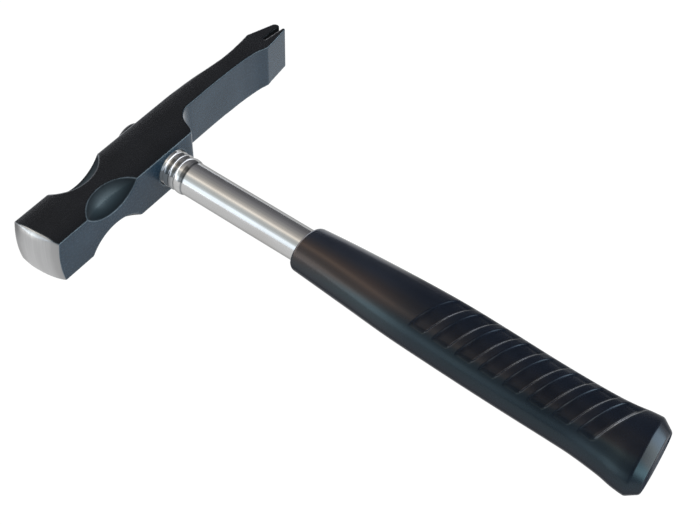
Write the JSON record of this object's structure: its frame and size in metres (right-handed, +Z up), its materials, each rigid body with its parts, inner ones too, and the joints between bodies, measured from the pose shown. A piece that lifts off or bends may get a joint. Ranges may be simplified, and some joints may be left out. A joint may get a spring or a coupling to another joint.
{
  "type": "scutch hammer",
  "caption": "Forged mason's hammer: square crowned striking face, slotted comb-holder blade, tubular steel shaft with rolled beads and an oval moulded grip with slanted pockets.",
  "frame": {"origin": "centre of the footprint at the lowest point, with the hammer lying on its side", "axes": "+X along the head from the striking face to the slotted comb end, +Y along the handle from the butt to the head, +Z up out of the upper cheek"},
  "size_m": [0.1869, 0.3072, 0.0286],
  "materials": {
    "black_paint": "thin satin black coating on forged steel, worn light along the long edges; the striking face is bare ground steel",
    "plated_steel": "plated drawn steel tube, smooth with a faint lengthwise draw",
    "painted_plug": "same satin black coating as the head",
    "grip_rubber": "smooth black moulded rubber with a soft gloss",
    "stopper_plastic": "plain black stopper, hidden inside the grip"
  },
  "bodies": {
    "root": {"hammer_head": "black_paint", "shaft_tube": "plated_steel", "expander_plug": "painted_plug", "handle_grip": "grip_rubber", "butt_plug": "stopper_plastic"}
  },
  "joints": []
}
